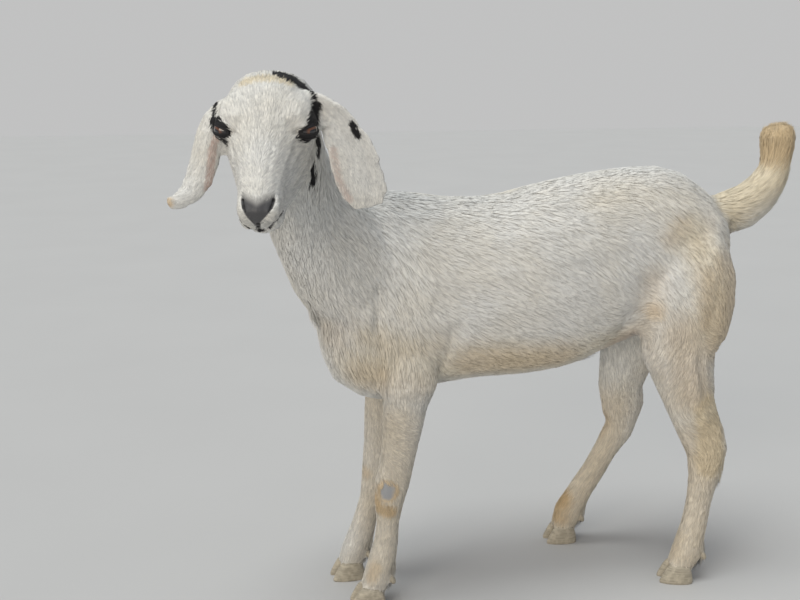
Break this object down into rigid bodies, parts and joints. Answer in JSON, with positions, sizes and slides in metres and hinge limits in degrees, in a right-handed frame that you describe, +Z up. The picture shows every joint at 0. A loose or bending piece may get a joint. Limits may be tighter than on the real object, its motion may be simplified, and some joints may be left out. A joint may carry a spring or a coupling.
{
  "type": "standing goat figure",
  "caption": "Young lop-eared goat standing with raised tail and head turned to its left, white coat with black eye patches.",
  "frame": {"origin": "middle of the bounding box at floor level, under the goat", "axes": "the body faces -X, its left side faces -Y, +Z is up"},
  "size_m": [0.7844, 0.3288, 0.6513],
  "materials": {
    "coat": "matte short hair",
    "ear": "matte fine hair",
    "eye": "wet gloss",
    "hoof": "dull horn"
  },
  "bodies": {
    "root": {"trunk": "coat", "neck": "coat", "head": "coat", "ear_left": "ear", "ear_right": "ear", "eye_left": "eye", "eye_right": "eye", "tail": "coat", "fore_leg_left": "coat", "fore_left_foot_outer_claw": "hoof", "fore_left_foot_outer_dewclaw": "hoof", "fore_left_foot_inner_claw": "hoof", "fore_left_foot_inner_dewclaw": "hoof", "fore_leg_right": "coat", "fore_right_foot_outer_claw": "hoof", "fore_right_foot_outer_dewclaw": "hoof", "fore_right_foot_inner_claw": "hoof", "fore_right_foot_inner_dewclaw": "hoof", "hind_leg_left": "coat", "hind_left_foot_outer_claw": "hoof", "hind_left_foot_outer_dewclaw": "hoof", "hind_left_foot_inner_claw": "hoof", "hind_left_foot_inner_dewclaw": "hoof", "hind_leg_right": "coat", "hind_right_foot_outer_claw": "hoof", "hind_right_foot_outer_dewclaw": "hoof", "hind_right_foot_inner_claw": "hoof", "hind_right_foot_inner_dewclaw": "hoof"}
  },
  "joints": []
}
